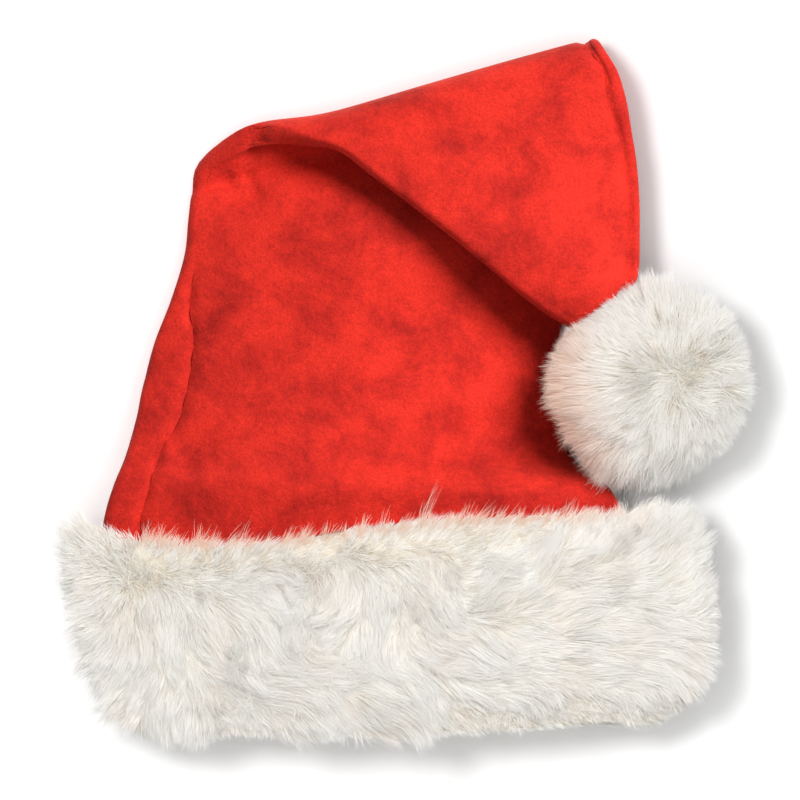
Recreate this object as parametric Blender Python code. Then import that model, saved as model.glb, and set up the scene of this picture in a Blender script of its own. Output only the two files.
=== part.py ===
"""Santa hat of red plush, lying on its back with its tip folded over to the right.

Two gores make a flat cone of cloth. Its hem sits inside a deep fur cuff and its tip inside a
fur pompom. The origin is the middle of the cuff's flat underside. +Y runs from the cuff towards
the fold, +X to the side that the tip hangs to, and +Z up from the surface that the hat lies on.
All sizes are in metres.
"""

import math
import random
from collections import namedtuple

import bmesh
import bpy
from mathutils import Vector

# The crown
HEM_WIDTH = 0.290  # the flattened crown at its hem, half of a head's girth
BODY_LENGTH = 0.2355  # from the cuff's upper edge to the outermost point of the fold
BODY_DEPTH = 0.041  # the body's thickness where it is fullest
CLOTH_WALL = 0.0018
EDGE_RADIUS = 0.005  # how round the flattened cloth is at its side edges
SEAM_GAP = 0.0003  # between the two gores
NECK_WIDTH = 0.034  # the crown where it enters the pompom
NECK_DEPTH = 0.0164
TIP_WIDTH = 0.017
TIP_THICKNESS = 0.0116

# The cuff
CUFF_HEIGHT = 0.114
CUFF_PAD = 0.025  # fur above and below the crown
MOUTH_DEPTH = 0.026  # the hollow of the flattened hem, between the two cloth walls
CUFF_LOCK = 0.009  # how far its locks stand out
CUFF_SWIRL = 0.032  # how wide the swirls of its fur are

# The pompom
POMPOM_RADIUS = 0.054  # to the ends of its locks
POMPOM_LOCK = 0.012
POMPOM_SWIRL = 0.018  # how wide the swirls of its fur are
POMPOM_TOP = 0.046  # from its middle to the top, locks and all
POMPOM_MIDDLE = 0.042  # its middle's height, as it rests squashed on the surface
POMPOM_ANGLE = math.radians(-55)  # the way that the crown's tip points, from +X
POMPOM_GAP = 0.0095  # from the cuff's upper edge
POMPOM_OVERLAP = 0.17  # how far it lies over the body's edge, a share of its radius
TIP_DEPTH = 0.019  # from the pompom's middle back to the crown's tip

HIDDEN_SEAM = 0.012  # a seam's distance from the edge where none shows, a share of the width
CLEARANCE = 0.0003  # between pieces that touch
POCKET_ROOM = 0.0015  # round the crown's tip in the pompom's pocket
POCKET_MOUTH = 0.88  # how far out the pocket opens, a share of the core's radius

# Mesh resolution
ACROSS = 18  # spans across the flattened crown, each side
CAP = 4  # spans round each side edge
SPANS = ACROSS + CAP  # spans of one gore
POMPOM_SIDES = 16
POMPOM_RINGS = 7
FIRST_LATITUDE = math.radians(42)  # of the ball's rings, from where the tip goes in
LATITUDE_STEP = math.radians(19)

UP = Vector((0, 0, 1))
POMPOM_CORE = POMPOM_RADIUS - POMPOM_LOCK
CROWN_MIDDLE = CUFF_PAD + MOUTH_DEPTH / 2 + CLOTH_WALL  # height of the crown inside the cuff
FOLD_DEPTH = 0.30 * BODY_DEPTH  # the cloth's thickness where it is folded
FOLD_RADIUS = 0.34 * BODY_DEPTH  # of the fold's middle surface, which rolls over the body

Section = namedtuple("Section", "left right half_depth facing seam_left seam_right")

# The crown inside the cuff, from the rim to the cuff's upper edge.
# y: share of CUFF_HEIGHT from the cuff's middle. left, right: shares of HEM_WIDTH.
CUFF_INSIDE = (
    # y, left, right
    (-0.42, -0.385, 0.425),
    (-0.23, -0.460, 0.500),
    (0.10, -0.492, 0.471),
    (0.50, -0.484, 0.390),
)

# The body, from the cuff to the fold. x: shares of HEM_WIDTH. y: shares of BODY_LENGTH from the
# cuff's upper edge. lift: how far it is held up towards the cuff, a share of CUFF_PAD.
# z, depth: shares of BODY_DEPTH. seam: the left seam's distance from the side edge, a share of
# the section's width.
BODY = (
    # left x, left y, left z, right x, right y, right z, lift, depth, seam
    (-0.474, 0.042, 0.43, 0.371, 0.042, 0.43, 0.85, 0.86, 0.052),
    (-0.452, 0.113, 0.48, 0.304, 0.118, 0.06, 0.60, 0.96, 0.050),
    (-0.436, 0.187, 0.46, 0.293, 0.204, 0.12, 0.34, 1.00, 0.074),
    (-0.424, 0.261, 0.44, 0.283, 0.289, 0.12, 0.16, 1.00, 0.080),
    (-0.407, 0.346, 0.42, 0.290, 0.382, 0.13, 0.06, 0.97, 0.070),
    (-0.379, 0.437, 0.40, 0.324, 0.493, 0.18, 0.01, 0.90, 0.020),
    (-0.355, 0.537, 0.36, 0.359, 0.616, 0.26, 0.00, 0.78, 0.012),
    (-0.348, 0.607, 0.29, 0.369, 0.739, 0.26, 0.00, 0.60, 0.012),
    (-0.341, 0.647, 0.21, 0.374, 0.834, 0.21, 0.00, 0.42, 0.012),
)
WAIST = 3  # the body's row that the pompom lies beside

# The fold's outer edge, in the body's shares, and the turn of the cloth over it.
# inset: where the section starts and ends, a share of the fold's length. turn in degrees.
FOLD_LEFT = (-0.342, 0.748)
FOLD_RIGHT = (0.352, 1.000)
FOLD = (
    # turn, left inset, right inset
    (0, -0.020, 0.000),
    (30, 0.000, 0.000),
    (60, 0.050, 0.000),
    (90, 0.120, 0.000),
    (120, 0.190, 0.000),
    (150, 0.260, -0.006),
    (180, 0.330, -0.014),
)

# The folded tip, from the fold to the pompom. x: shares of HEM_WIDTH from the pompom's middle.
# y: shares of the way from the pompom's middle to the fold's right end.
# left z, right z, depth: shares of BODY_DEPTH. seam: the right seam's distance from the edge.
FLAP = (
    # left x, left y, left z, right x, right y, right z, depth, seam
    (-0.479, 0.594, 0.94, -0.041, 0.809, 0.84, 0.34, 0.030),
    (-0.431, 0.533, 1.02, -0.031, 0.716, 0.80, 0.38, 0.014),
    (-0.379, 0.464, 1.09, -0.022, 0.617, 0.78, 0.41, 0.012),
    (-0.324, 0.391, 1.14, -0.017, 0.516, 0.80, 0.43, 0.012),
    (-0.267, 0.313, 1.16, -0.017, 0.414, 0.86, 0.44, 0.012),
    (-0.216, 0.238, 1.15, -0.019, 0.319, 0.95, 0.44, 0.012),
    (-0.174, 0.186, 1.12, -0.024, 0.284, 1.02, 0.42, 0.012),
)

# Places where the cloth sways off the plain outline. x and y as in BODY.
# reach x, shift x: shares of HEM_WIDTH. reach y, shift y: shares of BODY_LENGTH.
SWAYS = (
    # x, y, reach x, reach y, shift x, shift y
    (-0.240, 0.807, 0.090, 0.140, -0.004, 0.028),
    (-0.331, 0.718, 0.050, 0.080, -0.010, 0.010),
)

# Dents and swellings of the body's upper side. x and y as in BODY. reach x: share of HEM_WIDTH,
# reach y: share of BODY_LENGTH. rise: share of BODY_DEPTH, below nought for a dent.
BODY_DENTS = (
    # x, y, reach x, reach y, rise
    (0.245, 0.330, 0.045, 0.120, -0.24),
    (-0.250, 0.640, 0.060, 0.060, -0.10),
    (-0.270, 0.745, 0.030, 0.050, 0.07),
    (-0.330, 0.130, 0.050, 0.050, -0.12),
    (0.180, 0.170, 0.110, 0.040, -0.08),
    (-0.080, 0.300, 0.120, 0.090, 0.05),
)

# The cuff's outer form without its locks. y: share of CUFF_HEIGHT from its middle.
# left, right: shares of HEM_WIDTH. full: share of CUFF_PAD.
CUFF_OUTSIDE = (
    # y, left, right, full
    (0.49, -0.508, 0.490, 0.35),
    (0.40, -0.534, 0.508, 0.70),
    (0.24, -0.536, 0.520, 0.93),
    (0.04, -0.527, 0.533, 1.00),
    (-0.15, -0.508, 0.530, 1.00),
    (-0.28, -0.478, 0.513, 0.90),
    (-0.37, -0.440, 0.480, 0.68),
    (-0.44, -0.408, 0.445, 0.40),
)
EDGE_DIP = 0.13  # how far the cuff's upper edge drops left of the middle, a share of CUFF_HEIGHT
EDGE_DIP_X = -0.31  # where it drops most, and over how wide a stretch, shares of HEM_WIDTH
EDGE_DIP_REACH = 0.17
RIM_RISE = 0.05  # how far its lower rim rises at the right, likewise
RIM_RISE_X = 0.42
RIM_RISE_REACH = 0.20
CUFF_SQUARENESS = 2.5  # the power of its superellipse: 2 is an ellipse, more is boxier
CUFF_SETTLING = 1.12  # how much fuller its underside would be, were it not pressed flat
INNER_EDGE = 0.47  # the upper end of the cuff's inner wall, a share of CUFF_HEIGHT


def body_point(x, y):
    """A point of the plan from its shares of the body."""
    return Vector((x * HEM_WIDTH, CUFF_HEIGHT / 2 + y * BODY_LENGTH, 0))


def pompom_centre():
    """The pompom lies beside the body's waist and just clear of the cuff."""
    waist_x = BODY[WAIST][3] * HEM_WIDTH
    y = CUFF_HEIGHT / 2 + POMPOM_GAP + POMPOM_RADIUS
    return Vector((waist_x + (1 - POMPOM_OVERLAP) * POMPOM_RADIUS, y, POMPOM_MIDDLE))


def tip_direction():
    return Vector((math.cos(POMPOM_ANGLE), math.sin(POMPOM_ANGLE), 0))


def cuff_sections():
    """The flattened crown's sections along the inside of the cuff."""
    half_depth = MOUTH_DEPTH / 2 + CLOTH_WALL
    sections = []
    for y, left, right in CUFF_INSIDE:
        ends = [Vector((x * HEM_WIDTH, y * CUFF_HEIGHT, CROWN_MIDDLE)) for x in (left, right)]
        sections.append(Section(*ends, half_depth, 0, BODY[0][-1], HIDDEN_SEAM))
    return sections


def body_sections():
    sections = []
    for left_x, left_y, left_z, right_x, right_y, right_z, lift, depth, seam in BODY:
        held_up = lift * CUFF_PAD
        left = body_point(left_x, left_y) + (held_up + left_z * BODY_DEPTH) * UP
        right = body_point(right_x, right_y) + (held_up + right_z * BODY_DEPTH) * UP
        sections.append(Section(left, right, depth * BODY_DEPTH / 2, 0, seam, HIDDEN_SEAM))
    return sections


def fold_sections():
    """Sections that turn about a level axis, half a turn in all."""
    outer_left = body_point(*FOLD_LEFT)
    outer_right = body_point(*FOLD_RIGHT)
    along = outer_right - outer_left
    outward = UP.cross(along.normalized())
    axis_height = (FOLD_DEPTH / 2 + FOLD_RADIUS) * UP
    inward = outward * (FOLD_RADIUS + FOLD_DEPTH / 2)
    sections = []
    for turn, left_inset, right_inset in FOLD:
        angle = math.radians(turn)
        spoke = FOLD_RADIUS * (outward * math.sin(angle) - UP * math.cos(angle))
        middle = axis_height + spoke - inward
        left = outer_left + along * left_inset + middle
        right = outer_right - along * right_inset + middle
        sections.append(Section(left, right, FOLD_DEPTH / 2, turn, HIDDEN_SEAM, HIDDEN_SEAM))
    return sections


def flap_sections():
    """The folded tip's sections, and its narrow end inside the pompom."""
    centre = pompom_centre()
    reach = body_point(*FOLD_RIGHT).y - centre.y
    sections = []
    for left_x, left_y, left_z, right_x, right_y, right_z, depth, seam in FLAP:
        left = Vector((centre.x + left_x * HEM_WIDTH, centre.y + left_y * reach, left_z * BODY_DEPTH))
        right = Vector((centre.x + right_x * HEM_WIDTH, centre.y + right_y * reach, right_z * BODY_DEPTH))
        sections.append(Section(left, right, depth * BODY_DEPTH / 2, 180, HIDDEN_SEAM, seam))
    forward = tip_direction()
    sideways = UP.cross(forward)
    for distance, width, depth in (
        (POMPOM_CORE, NECK_WIDTH, NECK_DEPTH),
        (TIP_DEPTH, TIP_WIDTH, TIP_THICKNESS),
    ):
        middle = centre - forward * distance
        left = middle - sideways * width / 2
        right = middle + sideways * width / 2
        sections.append(Section(left, right, depth / 2, 180, HIDDEN_SEAM, HIDDEN_SEAM))
    return sections


def crown_sections():
    hem_up = cuff_sections()[1:]
    return hem_up + body_sections() + fold_sections() + flap_sections()


def outline(section, grow=0.0):
    """The flattened section's points as (across, towards the front), from the left seam across
    the front, round the right edge, back along the rear and round the left edge."""
    half_width = (section.right - section.left).length / 2 + grow
    half_depth = section.half_depth + grow
    radius = min(EDGE_RADIUS + grow, half_depth)
    flank = half_width - radius
    left_seam = -flank + 2 * half_width * section.seam_left
    right_seam = flank - 2 * half_width * section.seam_right

    def bulge(x):
        return radius + (half_depth - radius) * (1 - (x / flank) ** 2)

    def run(start, end, side):
        steps = ACROSS - 1
        places = [start + (end - start) * k / steps for k in range(steps + 1)]
        return [(x, side * bulge(x)) for x in places]

    def edge(side):
        angles = [math.pi * (0.5 - k / CAP) for k in range(1, CAP)]
        return [(side * (flank + radius * math.cos(a)), side * radius * math.sin(a)) for a in angles]

    front = run(left_seam, flank, 1)
    rear = run(right_seam, -flank, -1)
    return front + edge(1) + [(flank, -bulge(flank))] + rear + edge(-1) + [(-flank, bulge(flank))]


def ring(section, grow=0.0):
    """The section's outline in space."""
    along = (section.right - section.left).normalized()
    level_normal = (UP - along * along.dot(UP)).normalized()
    onward = level_normal.cross(along)
    angle = math.radians(section.facing)
    front = level_normal * math.cos(angle) - onward * math.sin(angle)
    middle = (section.left + section.right) / 2
    return [middle + along * x + front * h for x, h in outline(section, grow)]


def dented(point):
    """A point of the body's upper side, moved by the dents near it."""
    rise = 0
    for x, y, reach_x, reach_y, share in BODY_DENTS:
        away = point - body_point(x, y)
        spread = (away.x / (reach_x * HEM_WIDTH)) ** 2 + (away.y / (reach_y * BODY_LENGTH)) ** 2
        rise += share * BODY_DEPTH * math.exp(-spread)
    return point + rise * UP


def swayed(point):
    """A point of the crown, moved in plan by the sways near it."""
    shift = Vector()
    for x, y, reach_x, reach_y, shift_x, shift_y in SWAYS:
        away = point - body_point(x, y)
        near = math.exp(-((away.x / (reach_x * HEM_WIDTH)) ** 2) - (away.y / (reach_y * BODY_LENGTH)) ** 2)
        shift += near * Vector((shift_x * HEM_WIDTH, shift_y * BODY_LENGTH, 0))
    return point + shift


def gore_points(section, front, grow=0.0):
    """One gore's part of a section, drawn back from the seams by half their gap and flat where
    it lies on the surface."""
    around = ring(section, grow)
    around = around[: SPANS + 1] if front else around[SPANS:] + around[:1]
    first = (around[1] - around[0]).normalized() * SEAM_GAP / 2
    last = (around[-2] - around[-1]).normalized() * SEAM_GAP / 2
    around[0] = around[0] + first
    around[-1] = around[-1] + last
    on_body = section.facing == 0
    edge_height = max(section.left.z, section.right.z) + EDGE_RADIUS / 2
    around = [dented(p) if on_body and p.z > edge_height else p for p in around]
    around = [Vector((p.x, p.y, max(p.z, -grow))) for p in around]
    inside_cuff = section.left.y <= CUFF_HEIGHT / 2
    return around if inside_cuff else [swayed(p) for p in around]


def loft(bm, rings, closed):
    """Skins rows of points with quads. A closed ring joins its ends."""
    rows = [[bm.verts.new(p) for p in points] for points in rings]
    count = len(rows[0])
    for lower, upper in zip(rows, rows[1:]):
        for k in range(count if closed else count - 1):
            nxt = (k + 1) % count
            bm.faces.new((lower[k], lower[nxt], upper[nxt], upper[k]))
    return rows


def grow_locks(bm, faces, length, lean, seed):
    """Draws each face out into a lock of fur, a shoulder and then a narrow tip that leans."""
    chance = random.Random(seed)
    tops = bmesh.ops.extrude_discrete_faces(bm, faces=faces)["faces"]
    plans = []
    for face in tops:
        middle = face.calc_center_median()
        normal = face.normal.copy()
        sideways = lean(middle, normal)
        sideways -= normal * sideways.dot(normal)
        reach = math.sqrt(face.calc_area())
        plans.append((face, normal, sideways, reach, chance.uniform(0.8, 1.2) * length))
    for rise, bend, narrow in ((0.55, 0.18, 0.80), (0.45, 0.50, 0.30)):
        if rise < 0.5:
            tops = bmesh.ops.extrude_discrete_faces(bm, faces=tops)["faces"]
        for face, (_, normal, sideways, reach, height) in zip(tops, plans):
            middle = face.calc_center_median()
            shift = normal * height * rise + sideways * reach * bend
            for vert in face.verts:
                vert.co = middle + (vert.co - middle) * narrow + shift


def new_object(name, bm, collection, material):
    bmesh.ops.recalc_face_normals(bm, faces=bm.faces)
    mesh = bpy.data.meshes.new(name)
    bm.to_mesh(mesh)
    bm.free()
    mesh.materials.append(material)
    mesh.shade_smooth()
    piece = bpy.data.objects.new(name, mesh)
    collection.objects.link(piece)
    return piece


def make_gore(name, front, collection, material):
    """One gore, a wall of cloth whose inner side follows the outer one section by section."""
    bm = bmesh.new()
    rings = []
    for section in crown_sections():
        outer = gore_points(section, front)
        inner = gore_points(section, front, grow=-CLOTH_WALL)
        rings.append(outer + inner[::-1])
    rows = loft(bm, rings, closed=True)
    for row in (rows[0], rows[-1]):
        for k in range(SPANS):
            bm.faces.new((row[k], row[k + 1], row[-k - 2], row[-k - 1]))
    return new_object(name, bm, collection, material)


def edge_dip(x):
    """How far the cuff's upper edge lies below its highest, a share of CUFF_HEIGHT."""
    away = (x / HEM_WIDTH - EDGE_DIP_X) / EDGE_DIP_REACH
    return EDGE_DIP * math.exp(-(away**2))


def rim_rise(x):
    """How far the cuff's lower rim lies above its lowest, a share of CUFF_HEIGHT."""
    away = (x / HEM_WIDTH - RIM_RISE_X) / RIM_RISE_REACH
    return RIM_RISE * math.exp(-(away**2))


def cuff_outer_ring(y, left, right, full):
    """The cuff's outer outline at one height, a superellipse pressed flat where it rests."""
    template = cuff_sections()[1]
    half_width = (template.right - template.left).length / 2
    reach = (right - left) / 2 * HEM_WIDTH
    middle = (left + right) / 2 * HEM_WIDTH
    depth = template.half_depth + full * (CUFF_PAD - CUFF_LOCK)
    rest = template.half_depth + full * CUFF_PAD * CUFF_SETTLING
    power = 2 / CUFF_SQUARENESS
    points = []
    for x, h in outline(template):
        flat = Vector((x / half_width, h / template.half_depth)).normalized()
        across = middle + math.copysign(abs(flat.x) ** power, flat.x) * reach
        height = math.copysign(abs(flat.y) ** power, flat.y) * (depth if h > 0 else rest)
        upward = y - 2 * max(y, 0) * edge_dip(across) + 2 * max(-y, 0) * rim_rise(across)
        points.append(Vector((across, upward * CUFF_HEIGHT, max(0, CROWN_MIDDLE + height))))
    return points


def cuff_inner_rings():
    """The wall of the cuff that the crown lies against, from the rim to the upper edge."""
    rim, hem, middle, top = [ring(section, CLEARANCE) for section in cuff_sections()]
    low, high = CUFF_INSIDE[2][0], CUFF_INSIDE[3][0]
    upper_edge = []
    for below, above in zip(middle, top):
        share = (INNER_EDGE - edge_dip(above.x) - low) / (high - low)
        upper_edge.append(below.lerp(above, share))
    return [rim, hem, middle, upper_edge]


def cuff_lean(point, normal):
    """The fur's lie on the cuff: swirls that wander along it, and away from the crown at its top."""
    x, y = point.x / CUFF_SWIRL, point.y / CUFF_SWIRL
    swirl = 2.2 * math.sin(x + 1.3) + 1.6 * math.sin(y + x / 2)
    upper = max(0.0, point.y / CUFF_HEIGHT)
    return Vector((math.cos(swirl), -0.6 + 1.6 * upper + 0.6 * math.sin(swirl), -0.4))


def make_cuff(collection, material):
    bm = bmesh.new()
    outer = [cuff_outer_ring(*row) for row in CUFF_OUTSIDE]
    rows = loft(bm, outer + cuff_inner_rings(), closed=True)
    count = len(rows[0])
    for k in range(count):
        nxt = (k + 1) % count
        bm.faces.new((rows[-1][k], rows[-1][nxt], rows[0][nxt], rows[0][k]))
    bmesh.ops.recalc_face_normals(bm, faces=bm.faces)
    outside = {vert for row in rows[: len(outer)] for vert in row}
    bm.normal_update()
    furred = [f for f in bm.faces if outside.issuperset(f.verts) and f.normal.z > -0.35]
    grow_locks(bm, furred, CUFF_LOCK, cuff_lean, seed=3)
    return new_object("fur_cuff", bm, collection, material)


def pompom_rings():
    """Rings from the bottom of the tip's pocket, out of its mouth and round the ball."""
    centre = pompom_centre()
    forward = tip_direction()
    sideways = UP.cross(forward)
    turns = [2 * math.pi * k / POMPOM_SIDES for k in range(POMPOM_SIDES)]

    def oval(distance, half_width, half_depth):
        middle = centre - forward * distance
        return [middle + sideways * half_width * math.cos(t) + UP * half_depth * math.sin(t) for t in turns]

    def pocket(distance, width, depth):
        return oval(distance, width / 2 + POCKET_ROOM, depth / 2 + POCKET_ROOM)

    def ball(latitude):
        radius = POMPOM_CORE * math.sin(latitude)
        points = oval(POMPOM_CORE * math.cos(latitude), radius, radius)
        squash = (POMPOM_TOP - POMPOM_LOCK) / POMPOM_CORE, POMPOM_MIDDLE / POMPOM_CORE
        for p in points:
            p.z = centre.z + (p.z - centre.z) * (squash[0] if p.z > centre.z else squash[1])
        return points

    mouth = pocket(POCKET_MOUTH * POMPOM_CORE, NECK_WIDTH, NECK_DEPTH)
    bottom = pocket(TIP_DEPTH - CLEARANCE, TIP_WIDTH, TIP_THICKNESS)
    latitudes = [FIRST_LATITUDE + LATITUDE_STEP * k for k in range(POMPOM_RINGS)]
    return [bottom, mouth] + [ball(latitude) for latitude in latitudes]


def pompom_lean(point, normal):
    """The pompom's fur falls away from the crown's tip, in two crossing swirls."""
    away = (point - pompom_centre()) / POMPOM_SWIRL
    swirl = math.sin(away.x) + math.cos(away.y)
    return 0.9 * tip_direction() + normal.cross(UP) * 0.5 * swirl - 0.3 * UP


def make_pompom(collection, material):
    bm = bmesh.new()
    rows = loft(bm, pompom_rings(), closed=True)
    bm.faces.new(rows[0])
    pole = bm.verts.new(pompom_centre() + tip_direction() * POMPOM_CORE)
    last = rows[-1]
    for k, vert in enumerate(last):
        bm.faces.new((vert, last[(k + 1) % POMPOM_SIDES], pole))
    bmesh.ops.recalc_face_normals(bm, faces=bm.faces)
    bm.normal_update()
    inside = set(rows[0] + rows[1])
    furred = [f for f in bm.faces if inside.isdisjoint(f.verts) and f.normal.z > -0.35]
    grow_locks(bm, furred, POMPOM_LOCK, pompom_lean, seed=5)
    return new_object("pompom", bm, collection, material)


def new_material(name, colour, roughness):
    material = bpy.data.materials.new(name)
    material.use_nodes = True
    shader = material.node_tree.nodes["Principled BSDF"]
    shader.inputs["Base Color"].default_value = (*colour, 1)
    shader.inputs["Roughness"].default_value = roughness
    shader.inputs["Metallic"].default_value = 0
    return material


def main():
    for piece in list(bpy.data.objects):
        bpy.data.objects.remove(piece)
    collection = bpy.data.collections.new("santa_hat")
    bpy.context.scene.collection.children.link(collection)
    velour = new_material("red_velour", (0.70, 0.03, 0.02), 0.9)
    fur = new_material("white_fur", (0.86, 0.84, 0.80), 0.8)
    make_gore("crown_front_panel", True, collection, velour)
    make_gore("crown_back_panel", False, collection, velour)
    make_cuff(collection, fur)
    make_pompom(collection, fur)


main()
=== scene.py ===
"""Santa hat of red velour with a deep fur cuff and a fur pompom, seen lying flat from above.

Each group of pieces has an operator, and the panel in the 3D view's sidebar lists them.
Lengths are in metres.
"""
import math
from collections import namedtuple

import bmesh
import bpy
import numpy as np
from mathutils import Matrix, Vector, kdtree, noise


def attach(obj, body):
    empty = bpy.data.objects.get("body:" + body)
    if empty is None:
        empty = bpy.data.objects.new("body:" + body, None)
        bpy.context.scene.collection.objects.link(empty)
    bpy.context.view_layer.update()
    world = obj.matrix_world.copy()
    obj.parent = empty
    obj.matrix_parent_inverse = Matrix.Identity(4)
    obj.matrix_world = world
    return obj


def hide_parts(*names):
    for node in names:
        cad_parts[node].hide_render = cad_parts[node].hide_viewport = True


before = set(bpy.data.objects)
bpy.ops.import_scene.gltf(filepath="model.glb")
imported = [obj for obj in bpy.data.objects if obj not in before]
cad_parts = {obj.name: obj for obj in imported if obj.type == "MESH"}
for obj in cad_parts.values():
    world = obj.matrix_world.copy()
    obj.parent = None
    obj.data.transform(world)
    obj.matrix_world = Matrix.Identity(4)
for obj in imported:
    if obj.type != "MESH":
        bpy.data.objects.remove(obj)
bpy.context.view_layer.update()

bl_info = {
    "name": "Santa hat",
    "version": (1, 0, 0),
    "blender": (4, 5, 0),
    "location": "View3D > Sidebar > Santa hat",
    "description": "Velour crown, fur cuff and fur pompom of a santa hat",
    "category": "Add Mesh",
}

UP = np.array((0.0, 0.0, 1.0))

# The crown's sizes, as the solids have them
HEM_WIDTH = 0.290
BODY_LENGTH = 0.2355
BODY_DEPTH = 0.041
EDGE_RADIUS = 0.005
NECK_WIDTH = 0.034
NECK_DEPTH = 0.0164
TIP_WIDTH = 0.017
TIP_THICKNESS = 0.0116
FOLD_DEPTH = 0.30 * BODY_DEPTH
FOLD_RADIUS = 0.34 * BODY_DEPTH

# The cuff's sizes
CUFF_HEIGHT = 0.114
CUFF_PAD = 0.025
MOUTH_DEPTH = 0.026
CUFF_LOCK = 0.009
CLOTH_WALL = 0.0018
CLEARANCE = 0.0003
CROWN_MIDDLE = CUFF_PAD + MOUTH_DEPTH / 2 + CLOTH_WALL
EDGE_DIP = 0.13  # how far the upper edge sinks at its lowest, a share of the cuff's height
EDGE_DIP_X = -0.30
EDGE_DIP_REACH = 0.26
RIM_RISE = 0.05  # how far the rim rises at its highest
RIM_RISE_X = 0.42
RIM_RISE_REACH = 0.20
CUFF_SQUARENESS = 2.5  # 2 is an ellipse, and more is squarer
CUFF_SETTLING = 1.12  # how much fuller the cuff is below, where it rests
INNER_EDGE = 0.47  # where the backing's inner sheet ends above, a share of the cuff's height
RIM_COVER = 0.9  # how far the fur goes on round the rim, a share of the way to the hem

# The pompom's sizes
POMPOM_RADIUS = 0.054
POMPOM_LOCK = 0.012
POMPOM_TOP = 0.046
POMPOM_MIDDLE = 0.042
POMPOM_ANGLE = math.radians(-55)
POMPOM_GAP = 0.0095
POMPOM_OVERLAP = 0.17
POMPOM_CORE = POMPOM_RADIUS - POMPOM_LOCK
POMPOM_FLAT = 0.001  # height of the core's flat underside
POMPOM_POLES = (0.02, math.pi - 0.001)  # where the core's rows begin and end
TIP_DEPTH = 0.019
HIDDEN_SEAM = 0.012  # a seam this near a folded edge doesn't show

# Mesh resolution
BROAD_SPANS = 76  # across the broad side of a gore
EDGE_SPANS = 10  # round its folded edge
STRIP_SPANS = 10  # from that edge to the seam
CROWN_ROWS = 150
CUFF_GRID = (220, 30)  # the backing's columns and rows
CUFF_FUR_GRID = (400, 120, 14)  # finer ones for the fur, and its rows round the rim
POMPOM_GRID = (65, 33)
POMPOM_FUR_GRID = (160, 90)
EVEN_SAMPLES = 4001  # taken round a closed form to space its points evenly
WELD = 0.00001  # points this near are joined

# The lowest points above the floor
CLOTH_LOWEST = 0.0002
BACKING_LOWEST = 0.0006
STRAND_LOWEST = 0.0003

# The velour's surface
GROOVE_DEPTH = 0.0020  # of the sewn seams that show
GROOVE_REACH = 0.0028
PUCKER = 0.3  # how unevenly the stitches draw the seam in
PUCKER_STEP = 0.9  # the pucker's turn from one row to the next
DENT_BLEND = 0.008  # the height over which dents fade in above the folded edge
SWAY_BLEND = 0.02  # the distance over which sways fade in above the cuff
WRINKLES = (
    # size, height
    (0.034, 0.0011),
    (0.011, 0.0003),
)

Coat = namedtuple("Coat", "name count length width lock_gap wisp_gap curl pull lift steps parts seed")
Section = namedtuple("Section", "left right half_depth turn seam_left seam_right")

CUFF_INSIDE = (
    # y, left, right
    (-0.42, -0.385, 0.425),
    (-0.23, -0.460, 0.500),
    (0.10, -0.492, 0.471),
    (0.50, -0.484, 0.390),
)

BODY = (
    # left x, left y, left z, right x, right y, right z, lift, depth, seam
    (-0.474, 0.042, 0.43, 0.371, 0.042, 0.43, 0.85, 0.86, 0.052),
    (-0.452, 0.113, 0.48, 0.304, 0.118, 0.06, 0.60, 0.96, 0.050),
    (-0.436, 0.187, 0.46, 0.293, 0.204, 0.12, 0.34, 1.00, 0.074),
    (-0.424, 0.261, 0.44, 0.283, 0.289, 0.12, 0.16, 1.00, 0.080),
    (-0.407, 0.346, 0.42, 0.290, 0.382, 0.13, 0.06, 0.97, 0.070),
    (-0.379, 0.437, 0.40, 0.324, 0.493, 0.18, 0.01, 0.90, 0.020),
    (-0.355, 0.537, 0.36, 0.359, 0.616, 0.26, 0.00, 0.78, 0.012),
    (-0.348, 0.607, 0.29, 0.369, 0.739, 0.26, 0.00, 0.60, 0.012),
    (-0.341, 0.647, 0.21, 0.374, 0.834, 0.21, 0.00, 0.42, 0.012),
)
WAIST = 3

FOLD_LEFT = (-0.342, 0.748)
FOLD_RIGHT = (0.352, 1.000)
FOLD = (
    # turn, left inset, right inset
    (0, -0.020, 0.000),
    (30, 0.000, 0.000),
    (60, 0.050, 0.000),
    (90, 0.120, 0.000),
    (120, 0.190, 0.000),
    (150, 0.260, -0.006),
    (180, 0.330, -0.014),
)

FLAP = (
    # left x, left y, left z, right x, right y, right z, depth, seam
    (-0.479, 0.594, 0.94, -0.041, 0.809, 0.84, 0.34, 0.030),
    (-0.431, 0.533, 1.02, -0.031, 0.716, 0.80, 0.38, 0.014),
    (-0.379, 0.464, 1.09, -0.022, 0.617, 0.78, 0.41, 0.012),
    (-0.324, 0.391, 1.14, -0.017, 0.516, 0.80, 0.43, 0.012),
    (-0.267, 0.313, 1.16, -0.017, 0.414, 0.86, 0.44, 0.012),
    (-0.216, 0.238, 1.15, -0.019, 0.319, 0.95, 0.44, 0.012),
    (-0.174, 0.186, 1.12, -0.024, 0.284, 1.02, 0.42, 0.012),
)

SWAYS = (
    # x, y, reach x, reach y, shift x, shift y
    (-0.240, 0.807, 0.090, 0.140, -0.004, 0.028),
    (-0.331, 0.718, 0.050, 0.080, -0.010, 0.010),
)

BODY_DENTS = (
    # x, y, reach x, reach y, rise
    (0.245, 0.330, 0.045, 0.120, -0.24),
    (-0.250, 0.640, 0.060, 0.060, -0.10),
    (-0.268, 0.742, 0.055, 0.048, 0.20),
    (-0.140, 0.712, 0.110, 0.060, -0.13),
    (-0.330, 0.130, 0.050, 0.050, -0.12),
    (0.180, 0.170, 0.110, 0.040, -0.08),
    (-0.080, 0.300, 0.120, 0.090, 0.05),
)

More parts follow.
